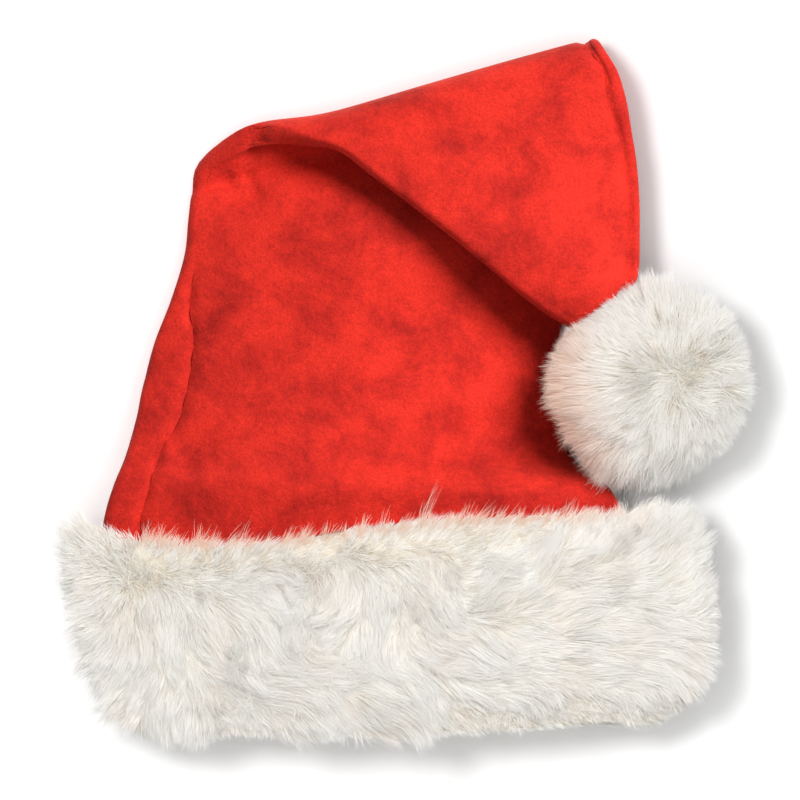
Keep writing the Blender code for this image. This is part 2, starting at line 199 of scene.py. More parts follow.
# Creases of the cloth, each along a line of the plan. A rise below nought is a crease.
CREASES = (
    # layer, start x, start y, end x, end y, reach, rise
    ("body", -0.107, 0.092, -0.100, 0.079, 0.0035, -0.0016),
    ("body", -0.100, 0.078, -0.082, 0.078, 0.0040, -0.0014),
    ("body", 0.030, 0.118, 0.070, 0.119, 0.0040, -0.0012),
    ("body", 0.030, 0.094, 0.070, 0.106, 0.0045, -0.0014),
    ("body", 0.014, 0.187, 0.026, 0.195, 0.0025, 0.0010),
    ("body", -0.092, 0.230, -0.076, 0.215, 0.0038, -0.0034),
    ("body", -0.082, 0.227, -0.073, 0.217, 0.0028, 0.0014),
    ("body", -0.075, 0.229, -0.069, 0.214, 0.0038, -0.0034),
    ("fold", -0.066, 0.248, -0.068, 0.233, 0.0040, -0.0034),
    ("flap", -0.040, 0.232, 0.000, 0.222, 0.0080, -0.0014),
    ("flap", 0.020, 0.246, 0.070, 0.226, 0.0110, -0.0012),
    ("flap", 0.050, 0.190, 0.090, 0.178, 0.0100, 0.0012),
)

CUFF_OUTSIDE = (
    # y, left, right, full
    (0.465, -0.512, 0.492, 0.42),
    (0.40, -0.534, 0.508, 0.70),
    (0.24, -0.536, 0.520, 0.93),
    (0.04, -0.527, 0.533, 1.00),
    (-0.15, -0.508, 0.530, 1.00),
    (-0.28, -0.478, 0.513, 0.90),
    (-0.37, -0.440, 0.480, 0.68),
    (-0.44, -0.408, 0.445, 0.40),
)

# Which way the cuff's fur lies, by places of the plan. angle is in degrees from +X, rise is how
# steeply the fur stands, and length is a share of the cuff's fur length.
CUFF_FLOW = (
    # x, y, angle, rise, length
    (-0.158, 0.031, 190, 0.5, 0.62),
    (-0.161, 0.006, 200, 0.5, 0.62),
    (-0.154, -0.019, 215, 0.5, 0.62),
    (-0.141, -0.039, 238, 0.4, 0.60),
    (-0.156, 0.048, 135, 0.6, 1.05),
    (-0.146, 0.052, 115, 0.6, 0.85),
    (-0.136, 0.036, 130, 0.6, 0.55),
    (-0.118, 0.036, 60, 0.6, 0.48),
    (-0.096, 0.034, 45, 0.5, 0.45),
    (-0.070, 0.036, 35, 0.5, 0.45),
    (-0.040, 0.042, 18, 0.3, 0.48),
    (-0.010, 0.048, 26, 0.3, 0.50),
    (0.012, 0.050, 34, 0.3, 0.50),
    (0.040, 0.050, 28, 0.3, 0.50),
    (0.070, 0.052, 34, 0.3, 0.52),
    (0.100, 0.052, 44, 0.3, 0.62),
    (0.128, 0.052, 70, 0.4, 0.75),
    (0.146, 0.046, 45, 0.5, 0.78),
    (-0.136, 0.022, 240, 0.3, 0.85),
    (-0.114, 0.024, 300, 0.3, 0.75),
    (-0.112, 0.000, 285, 0.2, 1.00),
    (-0.108, -0.030, 278, 0.2, 1.00),
    (-0.130, -0.024, 245, 0.3, 0.85),
    (-0.092, 0.020, 325, 0.2, 0.80),
    (-0.078, 0.002, 308, 0.2, 1.00),
    (-0.066, -0.010, 285, 0.2, 1.00),
    (-0.082, -0.026, 350, 0.2, 0.90),
    (-0.058, -0.030, 5, 0.2, 1.00),
    (-0.066, 0.018, 330, 0.2, 0.85),
    (-0.046, 0.018, 290, 0.2, 0.90),
    (-0.036, 0.000, 245, 0.2, 1.00),
    (-0.046, -0.016, 290, 0.2, 1.00),
    (-0.030, -0.030, 335, 0.2, 1.00),
    (-0.008, -0.036, 350, 0.2, 1.00),
    (-0.020, 0.024, 285, 0.2, 0.85),
    (-0.012, 0.004, 262, 0.2, 1.00),
    (0.012, 0.028, 310, 0.2, 0.80),
    (0.020, 0.008, 305, 0.2, 1.00),
    (0.040, -0.004, 325, 0.2, 1.00),
    (0.058, -0.016, 350, 0.2, 1.00),
    (0.052, 0.016, 22, 0.2, 0.95),
    (0.082, 0.024, 26, 0.2, 0.95),
    (0.108, 0.032, 30, 0.2, 0.90),
    (0.104, 0.008, 5, 0.1, 1.00),
    (0.132, 0.010, 0, 0.2, 0.90),
    (0.104, -0.016, 355, 0.1, 1.00),
    (0.132, -0.016, 345, 0.2, 0.85),
    (0.158, 0.028, 15, 0.4, 0.62),
    (0.162, 0.008, 0, 0.5, 0.60),
    (0.160, -0.014, 340, 0.5, 0.60),
    (0.148, -0.034, 315, 0.4, 0.58),
    (0.124, -0.042, 305, 0.4, 0.50),
    (-0.110, -0.050, 262, 0.4, 0.56),
    (-0.070, -0.048, 300, 0.3, 0.44),
    (-0.020, -0.050, 318, 0.3, 0.48),
    (0.030, -0.050, 325, 0.3, 0.52),
    (0.064, -0.050, 330, 0.3, 0.52),
    (0.094, -0.044, 325, 0.4, 0.36),
)
FLOW_REACH = 0.013  # how far a row of the table counts
FAR_WEIGHT, FAR_SOFTENING = 1e-9, 1e-4  # further off than that, the nearest rows still count most
FLOW_SINK = -0.25  # how far the fur's lie points downwards

POMPOM_PARTING = Vector((0.147, 0.124, 0.083))  # the spot that the pompom's fur falls away from
PARTING_REACH = 0.040
PARTING_ORDER = 0.1  # how well the fur keeps to its lie at the parting itself
POMPOM_FALL = np.array((1, 1, 0.8))  # how strongly it falls away along X, Y and Z
POMPOM_RISE = 0.6  # how steeply it stands
POMPOM_SHARE = 0.92  # of the pompom's fur length, away from its tuft
POMPOM_TUFT = (0.112, 0.076)  # where its longer tuft grows
TUFT_REACH = 0.012
TUFT_SHARE = 0.9  # how much longer the tuft is
TUFT_PULL = np.array((-0.7, -1.2, 0.1))  # which way the tuft is drawn, and how strongly
POMPOM_TRIMS = (  # where its fur is shorter
    # x, y, reach, share cut off
    (0.098, 0.156, 0.026, 0.50),
    (0.170, 0.082, 0.020, 0.40),
)

# How strands grow and hang together
LAID_FLAT = 0.85  # share of the flow's slope off the backing that is taken out
ROOT_STANDING = 1.5  # how much a strand stands up at its root
TIP_STANDING = 0.05
ROOT_CURL = 0.35  # share of the curl that a strand has from its root
TIP_CURL = 0.9  # how much more of it at the tip
LOOSE_CURL = 2.2  # how much more curl the fur has where its lie isn't settled
ORDER_CURL = 1.2  # how much of that a settled lie takes away
COMB_POWER = 1.3
UNDER_FUR_SHARE, LOCKS_SHARE = 0.85, 1.35  # of the cuff's fur length
POMPOM_STRAND_SHARE = 0.9  # of a strand's width
LENGTH_SPREAD = (0.88, 1.12)  # of locks, and of the wisps in a lock
STRAND_LENGTHS = (0.65, 0.9, 1.2)  # shortest, usual and longest in a wisp
STRAND_WIDTHS = (0.7, 1.3)
WISP_KEEPS, WISP_STRAYS = 0.85, 0.6  # share of its lock's curl that a wisp keeps, and its own
STRAND_KEEPS, STRAND_STRAYS = 0.9, 0.5  # the same for a strand in its wisp
WISP_PULL = 0.8  # how strongly wisps are drawn to their lock, beside strands to their wisp
RIBBON_TILT = 0.15
ROOT_WIDTH = 0.55  # a strand's width at its root
WIDENING = 1.5
TIP_POWER = 2.2  # how late it narrows to its tip

# Where the fur is thin
PRESSED_SHARE = 0.12  # of the strands, where the fur is pressed against the floor
UNDERSIDE, UNDERSIDE_BLEND = -0.75, 0.5  # slopes of the underside, by their normal's Z
CLEAR_HEIGHT, CLEAR_BLEND = 0.003, 0.006  # the height at which the fur is clear of the floor
LOCKS_FROM, LOCKS_BLEND = 0.55, 0.25  # the length shares at which long locks set in
FACE_BLEND = 0.4

# Tints of the fur: painted red bounce light and cream patches
# painted red light bounced off the velour, near the crown
PAINTED_RED_BOUNCE = 0.16  # near the crown
PINK_Y, PINK_BLEND = 0.030, 0.030
PINK_X, PINK_HALF_WIDTH, PINK_FADE = -0.01, 0.14, 0.02
PINK_HEIGHT = 0.03
CREAM = 0.10  # in patches
CREAM_PATCH = 0.016
# painted light bounced off the red crown, on the pompom's side towards it
PAINTED_PEACH_BOUNCE = 0.75  # on the pompom's side towards the crown
PEACH_LEFT, PEACH_LOW, PEACH_FROM = 1.2, 0.35, 0.25

# The thin wisps that stand up over the velour
FRINGE_SEED = 11
FRINGE_WISPS = 150
FRINGE_STRANDS = 1500
FRINGE_SPAN = (-0.128, 0.112)
FRINGE_EDGE = 0.44  # where they grow, a share of the cuff's height
FRINGE_SINK = 0.005
FRINGE_ANGLE, FRINGE_SPREAD = 62, 18  # from +X, in degrees
FRINGE_HEIGHT = 0.004
FRINGE_SHAPE, FRINGE_SCALE = 4, 0.0016  # of the spread of greater heights
FRINGE_THICKNESS = 0.0012
FRINGE_RISE = 0.25
FRINGE_BEND, FRINGE_STRAY = 0.25, 0.12
FRINGE_STEPS = 4
FRINGE_LENGTHS = (0.6, 1.1)
FRINGE_WIDTH = 0.7  # share of a strand's width
# share of painted red light bounced off the velour onto the wisps
FRINGE_RED_BOUNCE = 0.7
CROWN_TOP = (
    # share across the cuff, height of the crown there
    (0, 0.048),
    (0.12, 0.064),
    (0.5, 0.070),
    (0.85, 0.064),
    (1, 0.048),
)

LAMPS = (
    # name, size, place, the collection that it lights
    ("cloth_key", 0.8, (0.84, 0.80, 1.25), "hat_cloth"),
    ("fur_key", 0.9, (0.10, 0.42, 1.90), "hat_fur"),
    ("floor_key", 0.40, (-0.50, 0.40, 1.80), "stage"),
    ("floor_fill", 2.5, (0.0, 0.1, 2.4), "stage"),
)
LAMP_AIM = Vector((0.0, 0.10, 0.0))
FLOOR_SIZE = 8
COLLECTIONS = {"red_velour": "hat_cloth", "white_fur": "hat_fur"}

# The view from above, half a millimetre of the surface to a pixel of the picture
CAMERA_PLACE = (0.004, 0.111, 2.2)
CAMERA_REACH = 0.400  # the stretch of the surface that fills the picture


def rounded(value):
    """The smooth step from 0 to 1."""
    value = np.clip(value, 0, 1)
    return value * value * (3 - 2 * value)


def unit(vectors):
    return vectors / np.maximum(np.linalg.norm(vectors, axis=-1, keepdims=True), 1e-12)


def body_point(x, y):
    """A point of the plan from its shares of the body."""
    return np.array((x * HEM_WIDTH, CUFF_HEIGHT / 2 + y * BODY_LENGTH, 0))


def pompom_centre():
    waist_x = BODY[WAIST][3] * HEM_WIDTH
    y = CUFF_HEIGHT / 2 + POMPOM_GAP + POMPOM_RADIUS
    return np.array((waist_x + (1 - POMPOM_OVERLAP) * POMPOM_RADIUS, y, POMPOM_MIDDLE))


def tip_direction():
    return np.array((math.cos(POMPOM_ANGLE), math.sin(POMPOM_ANGLE), 0))


def cuff_sections():
    """The flattened crown's sections along the inside of the cuff."""
    half_depth = MOUTH_DEPTH / 2 + CLOTH_WALL
    sections = []
    for y, left, right in CUFF_INSIDE:
        ends = [np.array((x * HEM_WIDTH, y * CUFF_HEIGHT, CROWN_MIDDLE)) for x in (left, right)]
        sections.append(Section(*ends, half_depth, 0, BODY[0][-1], HIDDEN_SEAM))
    return sections


def body_sections():
    """The sections of the part that lies flat, from the cuff up to the fold."""
    sections = []
    for left_x, left_y, left_z, right_x, right_y, right_z, lift, depth, seam in BODY:
        held_up = lift * CUFF_PAD
        left = body_point(left_x, left_y) + (held_up + left_z * BODY_DEPTH) * UP
        right = body_point(right_x, right_y) + (held_up + right_z * BODY_DEPTH) * UP
        sections.append(Section(left, right, depth * BODY_DEPTH / 2, 0, seam, HIDDEN_SEAM))
    return sections


def fold_sections():
    """Sections that turn about a level axis, half a turn in all."""
    outer_left = body_point(*FOLD_LEFT)
    outer_right = body_point(*FOLD_RIGHT)
    along = outer_right - outer_left
    outward = np.cross(UP, unit(along))
    sections = []
    for turn, left_inset, right_inset in FOLD:
        angle = math.radians(turn)
        spoke = FOLD_RADIUS * (outward * math.sin(angle) - UP * math.cos(angle))
        middle = (FOLD_DEPTH / 2 + FOLD_RADIUS) * (UP - outward) + spoke
        left = outer_left + along * left_inset + middle
        right = outer_right - along * right_inset + middle
        sections.append(Section(left, right, FOLD_DEPTH / 2, turn, HIDDEN_SEAM, HIDDEN_SEAM))
    return sections


def flap_sections():
    """The folded tip's sections, and its narrow end inside the pompom."""
    centre = pompom_centre()
    reach = body_point(*FOLD_RIGHT)[1] - centre[1]
    sections = []
    for left_x, left_y, left_z, right_x, right_y, right_z, depth, seam in FLAP:
        left = np.array((centre[0] + left_x * HEM_WIDTH, centre[1] + left_y * reach, left_z * BODY_DEPTH))
        right = np.array((centre[0] + right_x * HEM_WIDTH, centre[1] + right_y * reach, right_z * BODY_DEPTH))
        sections.append(Section(left, right, depth * BODY_DEPTH / 2, 180, HIDDEN_SEAM, seam))
    forward = tip_direction()
    sideways = np.cross(UP, forward)
    for distance, width, depth in (
        (POMPOM_CORE, NECK_WIDTH, NECK_DEPTH),
        (TIP_DEPTH, TIP_WIDTH, TIP_THICKNESS),
    ):
        middle = centre - forward * distance
        left = middle - sideways * width / 2
        right = middle + sideways * width / 2
        sections.append(Section(left, right, depth / 2, 180, HIDDEN_SEAM, HIDDEN_SEAM))
    return sections


def crown_sections():
    """All of the crown's sections, from its hem to its tip."""
    return cuff_sections()[1:] + body_sections() + fold_sections() + flap_sections()


def section_axes(section):
    """The section's directions across it and towards its front."""
    along = unit(section.right - section.left)
    level_normal = unit(UP - along * along[2])
    onward = np.cross(level_normal, along)
    angle = math.radians(section.turn)
    return along, level_normal * math.cos(angle) - onward * math.sin(angle)


def gore_row(section, front):
    """One gore's points of a section, from one seam across its broad side, round the folded edge
    and back to the other seam."""
    half_width = np.linalg.norm(section.right - section.left) / 2
    half_depth = section.half_depth
    radius = min(EDGE_RADIUS, half_depth)
    flank = half_width - radius
    seams = -flank + 2 * half_width * section.seam_left, flank - 2 * half_width * section.seam_right
    start, finish = seams if front else seams[::-1]
    side = 1 if front else -1

    def bulge(x):
        return radius + (half_depth - radius) * (1 - (x / flank) ** 2)

    broad = np.linspace(start, side * flank, BROAD_SPANS + 1)
    turn = np.linspace(math.pi / 2, -math.pi / 2, EDGE_SPANS + 1)[1:]
    strip = np.linspace(side * flank, finish, STRIP_SPANS + 1)[1:]
    across = np.concatenate((broad, side * (flank + radius * np.cos(turn)), strip))
    height = side * np.concatenate((bulge(broad), radius * np.sin(turn), -bulge(strip)))
    along, facing = section_axes(section)
    middle = (section.left + section.right) / 2
    return middle + across[:, None] * along + height[:, None] * facing


def smooth_rows(rows, count):
    """Rows of values, drawn through evenly spaced places by a cubic that passes each given row."""
    steps = np.linalg.norm(np.diff(rows[..., :3], axis=0), axis=2).mean(axis=1)
    places = np.concatenate(((0,), np.cumsum(steps)))
    slopes = np.diff(rows, axis=0) / steps[:, None, None]
    inner = (slopes[1:] * steps[:-1, None, None] + slopes[:-1] * steps[1:, None, None])
    inner /= (steps[1:] + steps[:-1])[:, None, None]
    tangents = np.concatenate((slopes[:1], inner, slopes[-1:]))
    wanted = np.linspace(0, places[-1], count)
    below = np.clip(np.searchsorted(places, wanted, side="right") - 1, 0, len(steps) - 1)
    span = steps[below]
    t = ((wanted - places[below]) / span)[:, None, None]
    span = span[:, None, None]
    return (
        (2 * t**3 - 3 * t**2 + 1) * rows[below]
        + (t**3 - 2 * t**2 + t) * span * tangents[below]
        + (3 * t**2 - 2 * t**3) * rows[below + 1]
        + (t**3 - t**2) * span * tangents[below + 1]
    )


def near(points, x, y, reach_x, reach_y):
    """How near each point is to a place of the body, from 0 to 1."""
    away = points - body_point(x, y)
    across = away[..., 0] / (reach_x * HEM_WIDTH)
    along = away[..., 1] / (reach_y * BODY_LENGTH)
    return np.exp(-(across**2) - along**2)


def near_spot(points, x, y, reach):
    """How near each point is to a spot of the plan, from 0 to 1."""
    return np.exp(-((points[:, :2] - (x, y)) ** 2).sum(axis=1) / reach**2)


def near_line(points, start, end, reach):
    """How near each point is to a line of the plan, from 0 to 1."""
    start, end = np.array(start), np.array(end)
    line = end - start
    share = np.clip(((points[..., :2] - start) @ line) / (line @ line), 0, 1)
    away = points[..., :2] - start - share[..., None] * line
    return np.exp(-(away**2).sum(axis=-1) / reach**2)


def surface_normals(points):
    """Normals of a sheet of points, by rows and columns."""
    onward = np.gradient(points, axis=0)
    across = np.gradient(points, axis=1)
    return unit(np.cross(across, onward))


def gore_sheet(front):
    """One gore's fine sheet of points, with its dents, creases, sways and sewn edges."""
    sections = crown_sections()
    rows = []
    for section in sections:
        points = gore_row(section, front)
        on_body = float(section.turn == 0 and section.left[1] > CUFF_HEIGHT / 2)
        on_fold = float(0 < section.turn < 180)
        on_flap = float(section.turn == 180)
        edge = max(section.left[2], section.right[2]) + EDGE_RADIUS / 2
        sewn_left = float(section.seam_left > HIDDEN_SEAM)
        sewn_right = float(section.seam_right > HIDDEN_SEAM or section.turn >= 60)
        sewn = (sewn_left, sewn_right) if front else (sewn_right, sewn_left)
        extra = np.tile((on_body, on_fold, on_flap, edge, *sewn), (len(points), 1))
        rows.append(np.concatenate((points, extra), axis=1))
    sheet = smooth_rows(np.array(rows), CROWN_ROWS)
    points, edge = sheet[..., :3], sheet[..., 6]
    on_body, on_fold, on_flap = (rounded(sheet[..., k]) for k in (3, 4, 5))
    sewn = [rounded(sheet[..., k]) for k in (7, 8)]
    upper = on_body * rounded((points[..., 2] - edge) / DENT_BLEND + 0.5)
    rise = sum(share * BODY_DEPTH * near(points, *place) for *place, share in BODY_DENTS)
    points = points + (rise * upper)[..., None] * UP
    past_cuff = rounded((points[..., 1] - CUFF_HEIGHT / 2) / SWAY_BLEND)
    for *place, shift_x, shift_y in SWAYS:
        shift = np.array((shift_x * HEM_WIDTH, shift_y * BODY_LENGTH, 0))
        points = points + (near(points, *place) * past_cuff)[..., None] * shift
    layers = {"body": on_body, "fold": on_fold, "flap": on_flap}
    return finished_sheet(points, layers, sewn)


def finished_sheet(points, layers, sewn):
    """The sheet with its creases, its unevenness and the grooves along its visible seams."""
    outward = surface_normals(points)
    rise = np.zeros(points.shape[:2])
    facing_up = rounded(outward[..., 2] * 2)
    for layer, start_x, start_y, end_x, end_y, reach, height in CREASES:
        line = near_line(points, (start_x, start_y), (end_x, end_y), reach)
        rise += height * line * layers[layer] * facing_up
    rise += wrinkles(points) * facing_up
    along = np.linalg.norm(np.diff(points, axis=1), axis=2)
    places = np.concatenate((np.zeros((len(points), 1)), np.cumsum(along, axis=1)), axis=1)
    pucker = 1 + PUCKER * np.sin(np.arange(len(points)) * PUCKER_STEP)[:, None]
    for shown, from_seam in zip(sewn, (places, places[:, -1:] - places)):
        rise -= GROOVE_DEPTH * shown * pucker * np.exp(-((from_seam / GROOVE_REACH) ** 2))
    points = points + rise[..., None] * outward
    points[..., 2] = np.maximum(points[..., 2], CLOTH_LOWEST)
    return points


def wrinkles(points):
    """Small unevenness of the soft cloth."""
    flat = points.reshape(-1, 3)
    rise = sum(height * np.array([noise.noise(Vector(p) / size) for p in flat]) for size, height in WRINKLES)
    return rise.reshape(points.shape[:2])


def sheet_mesh(name, points, closed_columns=False, closed_rows=False):
    """A grid shaped into a sheet of points. Closed sides are welded."""
    rows, columns = points.shape[:2]
    bm = bmesh.new()
    bmesh.ops.create_grid(bm, x_segments=columns - 1, y_segments=rows - 1, size=0.5)
    for face in bm.faces:
        face.smooth = True
    bm.verts.ensure_lookup_table()
    for vert in bm.verts:
        column = round((vert.co.x + 0.5) * (columns - 1))
        row = round((vert.co.y + 0.5) * (rows - 1))
        vert.co = points[row, column]
    if closed_columns or closed_rows:
        bmesh.ops.remove_doubles(bm, verts=bm.verts, dist=WELD)
    for edge in bm.edges:
        edge.smooth = not edge.is_boundary
    mesh = bpy.data.meshes.new(name)
    bm.to_mesh(mesh)
    bm.free()
    return mesh


def named_collection(name):
    collection = bpy.data.collections.get(name)
    if collection is None:
        collection = bpy.data.collections.new(name)
        bpy.context.scene.collection.children.link(collection)
    return collection


def new_piece(name, mesh, material, slot_name, node):
    piece = bpy.data.objects.new(name, mesh)
    mesh.materials.append(material)
    named_collection(COLLECTIONS[slot_name]).objects.link(piece)
    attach(piece, "root")
    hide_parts(node)
    return piece


def cuff_profile(height):
    """left, right and full of the cuff's outside at one height, between the table's rows."""
    table = np.array(CUFF_OUTSIDE)[::-1]
    return [np.interp(height, table[:, 0], table[:, k]) for k in (1, 2, 3)]


def edge_dip(x):
    """How far the cuff's upper edge sinks at a place, a share of the cuff's height."""
    return EDGE_DIP * np.exp(-(((x / HEM_WIDTH - EDGE_DIP_X) / EDGE_DIP_REACH) ** 2))


def rim_rise(x):
    """How far the rim rises at a place, a share of the cuff's height."""
    return RIM_RISE * np.exp(-(((x / HEM_WIDTH - RIM_RISE_X) / RIM_RISE_REACH) ** 2))


def cuff_outside(across, height):
    """Points of the cuff's fur backing, from shares round it and heights in shares of the cuff."""
    left, right, full = cuff_profile(height)
    reach = (right - left) / 2 * HEM_WIDTH
    middle = (left + right) / 2 * HEM_WIDTH
    half_depth = MOUTH_DEPTH / 2 + CLOTH_WALL
    depth = half_depth + full * (CUFF_PAD - CUFF_LOCK)
    rest = half_depth + full * CUFF_PAD * CUFF_SETTLING
    angle = 2 * math.pi * across
    power = 2 / CUFF_SQUARENESS
    flat_x, flat_z = np.cos(angle), np.sin(angle)
    x = middle + np.copysign(np.abs(flat_x) ** power, flat_x) * reach
    tall = np.where(flat_z > 0, depth, rest)
    z = CROWN_MIDDLE + np.copysign(np.abs(flat_z) ** power, flat_z) * tall
    lowered = 2 * np.maximum(height, 0) * edge_dip(x)
    raised = 2 * np.maximum(-height, 0) * rim_rise(x)
    y = (height - lowered + raised) * CUFF_HEIGHT
    return np.stack((x, y, np.maximum(z, BACKING_LOWEST)), axis=-1)


def even_shares(points_at, count):
    """Shares round a closed form whose points lie evenly along it."""
    shares = np.linspace(0, 1, EVEN_SAMPLES)
    points = points_at(shares)
    steps = np.linalg.norm(np.diff(points, axis=0), axis=1)
    places = np.concatenate(((0,), np.cumsum(steps)))
    return np.interp(np.linspace(0, places[-1], count), places, shares)


def cuff_sheet(columns, rows):
    """The backing's outer sheet, from the upper edge down to the rim."""
    shares = even_shares(lambda s: cuff_outside(s, np.zeros_like(s)), columns)
    heights = np.linspace(CUFF_OUTSIDE[0][0], CUFF_OUTSIDE[-1][0], rows)
    return cuff_outside(shares[None, :], heights[:, None] * np.ones((1, columns)))


def cuff_inner_sheet(columns):
    """The backing's inner sheet, round the crown's hem, from the rim up."""
    shares = even_shares(lambda s: cuff_outside(s, np.zeros_like(s)), columns)
    angle = 2 * math.pi * shares
    rows = []
    for section in cuff_sections():
        middle = (section.left + section.right) / 2
        half_width = np.linalg.norm(section.right - section.left) / 2 + CLEARANCE
        flat_x = np.cos(angle)
        half_depth = section.half_depth + CLEARANCE
        radius = min(EDGE_RADIUS + CLEARANCE, half_depth)
        flank = half_width - radius
        x = half_width * np.copysign(np.abs(flat_x) ** (2 / CUFF_SQUARENESS), flat_x)
        lens = radius + (half_depth - radius) * (1 - np.minimum(np.abs(x) / flank, 1) ** 2)
        past = np.clip((np.abs(x) - flank) / radius, 0, 1)
        tall = np.where(np.abs(x) > flank, radius * np.sqrt(1 - past**2), lens)
        z = np.sign(np.sin(angle)) * tall
        rows.append(middle + x[:, None] * np.array((1.0, 0, 0)) + z[:, None] * UP)
    rows = np.array(rows)
    below, above = CUFF_INSIDE[-2][0], CUFF_INSIDE[-1][0]
    share = (INNER_EDGE - edge_dip(rows[-2, :, 0]) - below) / (above - below)
    rows[-1] = rows[-2] + (rows[-1] - rows[-2]) * share[:, None]
    return rows


def cuff_fur_sheet(columns, rows, rim_rows):
    """Where the cuff's fur grows: the outer sheet, and on round the rim towards the hem."""
    outer = cuff_sheet(columns, rows)
    hem = cuff_inner_sheet(columns)[0]
    share = np.linspace(0, RIM_COVER, rim_rows + 1)[1:, None, None]
    return np.concatenate((outer, outer[-1] + share * (hem - outer[-1])))


def scattered(sheet, count, chance, weight=None):
    """Places strewn evenly over a sheet of points, with the normals there."""
    normals = surface_normals(sheet)
    corners = (sheet[:-1, :-1], sheet[:-1, 1:], sheet[1:, :-1], sheet[1:, 1:])
    area = np.linalg.norm(np.cross(corners[1] - corners[0], corners[2] - corners[0]), axis=2)
    if weight is not None:
        area = area * weight[:-1, :-1]
    sums = np.cumsum(area.ravel())
    cells = np.searchsorted(sums, chance.random(count) * sums[-1])
    row, column = np.divmod(cells, area.shape[1])
    u, v = chance.random((2, count, 1))

    def mixed(values):
        below = values[row, column] * (1 - u) + values[row, column + 1] * u
        above = values[row + 1, column] * (1 - u) + values[row + 1, column + 1] * u
        return below * (1 - v) + above * v

    return mixed(sheet), unit(mixed(normals))


def nearest(places, centres):
    """For each place, the number of the nearest centre."""
    tree = kdtree.KDTree(len(centres))
    for number, centre in enumerate(centres):
        tree.insert(centre, number)
    tree.balance()
    return np.array([tree.find(place)[1] for place in places])


def grow(roots, normals, lengths, flow, lift, curl, steps):
    """Paths of strands that leave the backing and bend over along the flow."""
    paths = [roots]
    reach = lengths * flow(roots)[2] / (steps - 1)
    for step in range(1, steps):
        share = (step - 0.5) / (steps - 1)
        way, rise, _, order = flow(paths[-1])
        way = unit(way - normals * (way * normals).sum(axis=1, keepdims=True) * LAID_FLAT)
        standing = lift * rise * (1 - share) * ROOT_STANDING + TIP_STANDING
        stray = curl * (ROOT_CURL + TIP_CURL * share) * (LOOSE_CURL - ORDER_CURL * order)
        heading = unit(way * order + normals * standing + stray)
        paths.append(paths[-1] + heading * reach[:, None])
    return np.stack(paths, axis=1)


def combed(paths, centres, centre_paths, pull):
    """Strands drawn together with the guide strand of their lock, more so towards the tip."""
    owner = nearest(paths[:, 0], centres)
    share = np.linspace(0, 1, paths.shape[1])[None, :, None]
    return paths + (centre_paths[owner] - paths) * (pull[owner][:, None, None] * share**COMB_POWER)


def ribbon_points(paths, normals, widths, chance):
    """Points of tapered ribbons: two at each step along a strand, and one at its tip."""
    tangents = unit(np.gradient(paths, axis=1))
    tilted = unit(normals + chance.normal(0, RIBBON_TILT, normals.shape))
    across = unit(np.cross(tangents, tilted[:, None, :]))
    share = np.linspace(0, 1, paths.shape[1])
    taper = np.minimum(1, ROOT_WIDTH + WIDENING * share) * (1 - share**TIP_POWER)
    half = across * (widths[:, None] * taper / 2)[:, :, None]
    points = np.empty((len(paths), 2 * paths.shape[1] - 1, 3))
    points[:, 0:-1:2] = (paths - half)[:, :-1]
    points[:, 1::2] = (paths + half)[:, :-1]
    points[:, -1] = paths[:, -1]
    points[..., 2] = np.maximum(points[..., 2], STRAND_LOWEST)
    return points


def ribbon_faces(count, steps):
    """The corners of the ribbons' faces, and where each face begins among them. A ribbon is a
    row of quads with a triangle at its tip."""
    corners = []
    starts = []
    last = 2 * (steps - 2)
    for first in range(0, last, 2):
        starts.append(len(corners))
        corners += [first, first + 1, first + 3, first + 2]
    starts.append(len(corners))
    corners += [last, last + 1, last + 2]
    strand = np.arange(count)[:, None]
    all_corners = strand * (2 * steps - 1) + np.array(corners)
    all_starts = strand * len(corners) + np.array(starts)
    return all_corners.ravel(), all_starts.ravel()


def strand_piece(name, paths, normals, widths, chance, warmth, material, node):
    """Tapered ribbons along the paths, joined into one mesh. The UV map holds each strand's own
    shade and the share of the way to its tip."""
    count, steps = paths.shape[:2]
    points = ribbon_points(paths, normals, widths, chance)
    per_strand = points.shape[1]
    corners, starts = ribbon_faces(count, steps)
    mesh = bpy.data.meshes.new(name)
    mesh.vertices.add(count * per_strand)
    mesh.vertices.foreach_set("co", points.ravel())
    mesh.loops.add(len(corners))
    mesh.loops.foreach_set("vertex_index", corners)
    mesh.polygons.add(len(starts))
    mesh.polygons.foreach_set("loop_start", starts)
    mesh.update(calc_edges=True)
    uv = np.empty((count, per_strand, 2))
    uv[..., 0] = chance.random((count, 1))
    uv[..., 1] = np.append(np.repeat(np.linspace(0, 1, steps)[:-1], 2), 1.0)
    layer = mesh.uv_layers.new(name="strand")
    layer.data.foreach_set("uv", uv.reshape(-1, 2)[corners].ravel())
    tint = mesh.attributes.new("warmth", "FLOAT", "POINT")
    tint.data.foreach_set("value", np.repeat(warmth, per_strand))
    mesh.shade_smooth()
    return new_piece(name, mesh, material, "white_fur", node)


